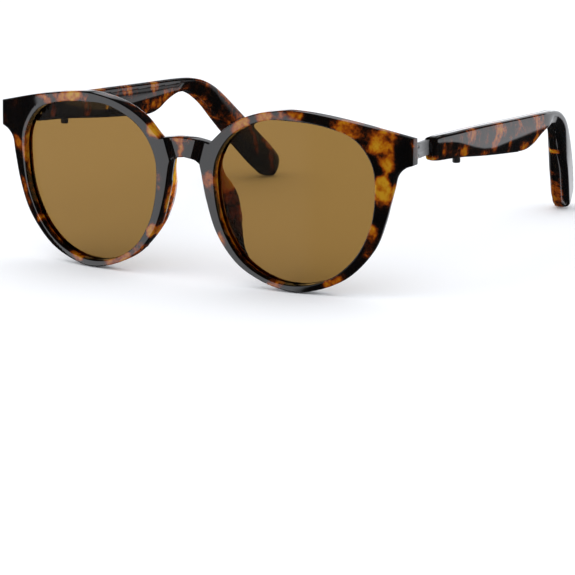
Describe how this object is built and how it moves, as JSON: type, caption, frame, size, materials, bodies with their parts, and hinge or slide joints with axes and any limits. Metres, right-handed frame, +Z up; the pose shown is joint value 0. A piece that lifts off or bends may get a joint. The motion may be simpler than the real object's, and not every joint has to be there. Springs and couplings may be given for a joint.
{
  "type": "smart glasses",
  "caption": "Round tortoiseshell glasses with tinted lenses and thick hollow folding temples that hold speakers, batteries and push buttons.",
  "frame": {"origin": "middle of the bounding box's bottom face, on the table under the glasses with the temples open", "axes": "+X towards the wearer's left, +Y from the front back to the ear tips, +Z up; the glasses lean 0.34 degrees about X so that rims and tips both touch Z = 0"},
  "size_m": [0.145, 0.1498, 0.054],
  "materials": {
    "tortoise_front": "polished acetate, near black to amber mottling",
    "tortoise_temple": "polished, near black to amber mottling",
    "brown_tint": "flat brown sun tint, polished",
    "hinge_metal": "satin",
    "button_plastic": "satin black",
    "switch_plastic": "black housing",
    "grille_plastic": "satin black",
    "speaker_case": "black case",
    "circuit_board": "green solder mask",
    "chip": "black moulding",
    "flex_lead": "amber film",
    "battery_wrap": "grey film",
    "gold_contact": "gold plated, polished",
    "magnet": "nickel plated"
  },
  "bodies": {
    "front": {"front_frame": "tortoise_front", "front_hinge_left": "hinge_metal", "front_hinge_right": "hinge_metal", "hinge_screw_left": "hinge_metal", "hinge_screw_right": "hinge_metal", "lens_left": "brown_tint", "lens_right": "brown_tint", "nose_pad_left": "tortoise_front", "nose_pad_right": "tortoise_front"},
    "left_temple": {"antenna_left": "chip", "battery_flex_left": "flex_lead", "battery_left": "battery_wrap", "bluetooth_chip_left": "chip", "charge_magnet_left": "magnet", "charge_pin_front_left": "gold_contact", "charge_pin_rear_left": "gold_contact", "leaf_screw_1_left": "hinge_metal", "leaf_screw_2_left": "hinge_metal", "main_board_left": "circuit_board", "microphone_left": "chip", "power_chip_left": "chip", "speaker_grille_left": "grille_plastic", "speaker_left": "speaker_case", "tact_switch_left": "switch_plastic", "temple_cover_left": "tortoise_temple", "temple_hinge_left": "hinge_metal", "temple_shell_left": "tortoise_temple"},
    "right_temple": {"antenna_right": "chip", "battery_flex_right": "flex_lead", "battery_right": "battery_wrap", "bluetooth_chip_right": "chip", "charge_magnet_right": "magnet", "charge_pin_front_right": "gold_contact", "charge_pin_rear_right": "gold_contact", "leaf_screw_1_right": "hinge_metal", "leaf_screw_2_right": "hinge_metal", "main_board_right": "circuit_board", "microphone_right": "chip", "power_chip_right": "chip", "speaker_grille_right": "grille_plastic", "speaker_right": "speaker_case", "tact_switch_right": "switch_plastic", "temple_cover_right": "tortoise_temple", "temple_hinge_right": "hinge_metal", "temple_shell_right": "tortoise_temple"},
    "left_button": {"button_left": "button_plastic"},
    "right_button": {"button_right": "button_plastic"}
  },
  "joints": [
    {"name": "left_temple_fold", "type": "hinge", "parent": "front", "child": "left_temple", "pos_m": [0.0679, -0.05798, 0.04271], "axis": [0, -0.0059, 1], "range_deg": [0, 84]},
    {"name": "right_temple_fold", "type": "hinge", "parent": "front", "child": "right_temple", "pos_m": [-0.0679, -0.05798, 0.04271], "axis": [0, 0.0059, -1], "range_deg": [0, 68]},
    {"name": "left_button_press", "type": "slide", "parent": "left_temple", "child": "left_button", "axis": [0, -0.0059, 1], "range_m": [0, 0.0004], "stiffness_N_per_m": 2500, "springref_m": -0.0005},
    {"name": "right_button_press", "type": "slide", "parent": "right_temple", "child": "right_button", "axis": [0, -0.0059, 1], "range_m": [0, 0.0004], "stiffness_N_per_m": 2500, "springref_m": -0.0005}
  ]
}
